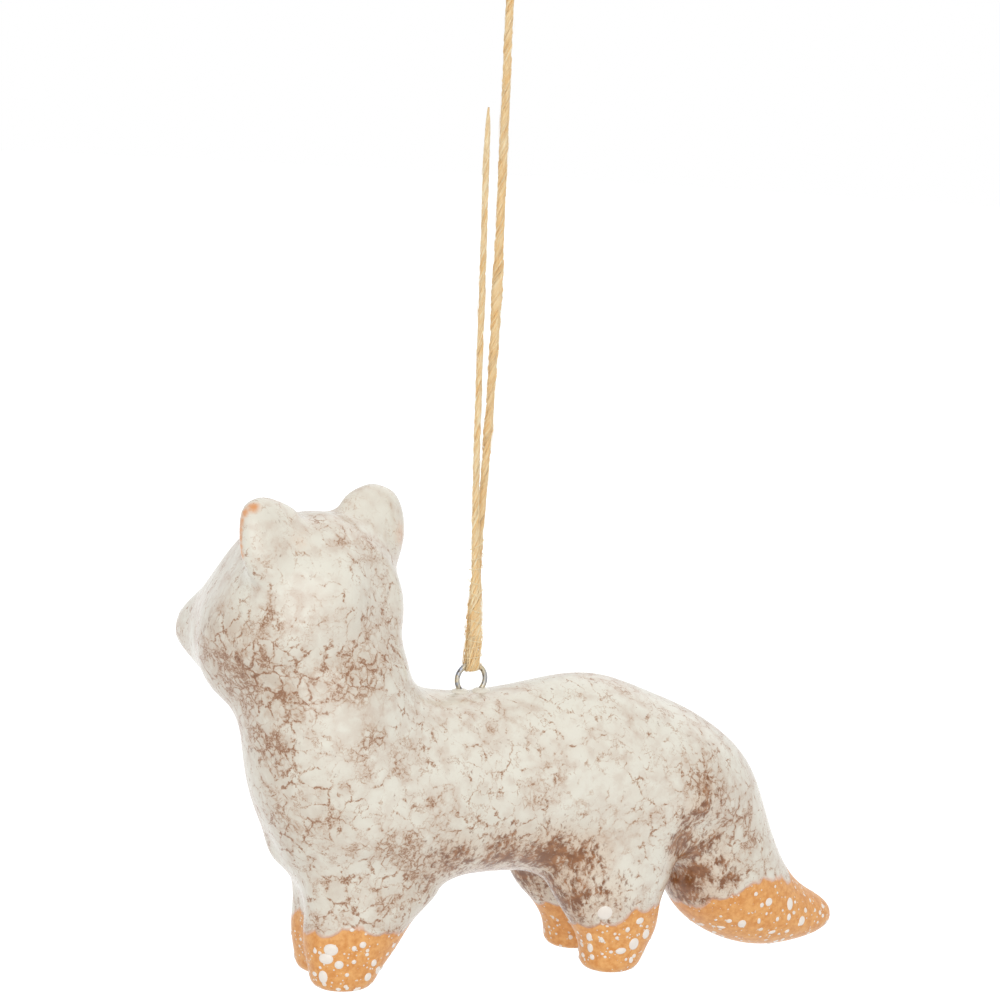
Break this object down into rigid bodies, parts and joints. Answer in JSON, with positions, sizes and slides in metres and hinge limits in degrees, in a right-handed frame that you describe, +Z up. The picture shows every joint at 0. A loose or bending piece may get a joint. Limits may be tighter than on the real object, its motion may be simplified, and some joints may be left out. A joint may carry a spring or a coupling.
{
  "type": "hanging fox figurine",
  "caption": "Glazed ceramic fox with turned head, raised back and brush tail, hung by a wire eye from a yarn strand with a knotted loop.",
  "frame": {"origin": "the hang point: the inner top of the yarn's loop, where it rests on a hook", "axes": "+Z up, the fox faces -X, its right side is towards +Y"},
  "size_m": [0.0889, 0.0344, 0.1445],
  "materials": {
    "glazed_clay": "glossy cream glaze with brown veins over terracotta",
    "bright_wire": "bright drawn steel wire",
    "yarn": "hairy single-ply natural yarn"
  },
  "bodies": {
    "loop": {"hanging_loop": "yarn"},
    "knot": {"cord_knot": "yarn"},
    "cord": {"long_strand": "yarn", "short_strand": "yarn", "cord_bight": "yarn"},
    "fox": {"fox_body": "glazed_clay", "hanging_eye": "bright_wire"}
  },
  "joints": [
    {"name": "knot_swing", "type": "hinge", "parent": "loop", "child": "knot", "pos_m": [0, 0, -0.02], "axis": [0, 1, 0], "range_deg": [-60, 60]},
    {"name": "cord_turn", "type": "hinge", "parent": "knot", "child": "cord", "pos_m": [0, 0, -0.02], "axis": [0, 0, 1], "range_deg": [-180, 180]},
    {"name": "fox_rock", "type": "hinge", "parent": "cord", "child": "fox", "pos_m": [0, 0, -0.106], "axis": [0, 1, 0], "range_deg": [-45, 30]}
  ]
}
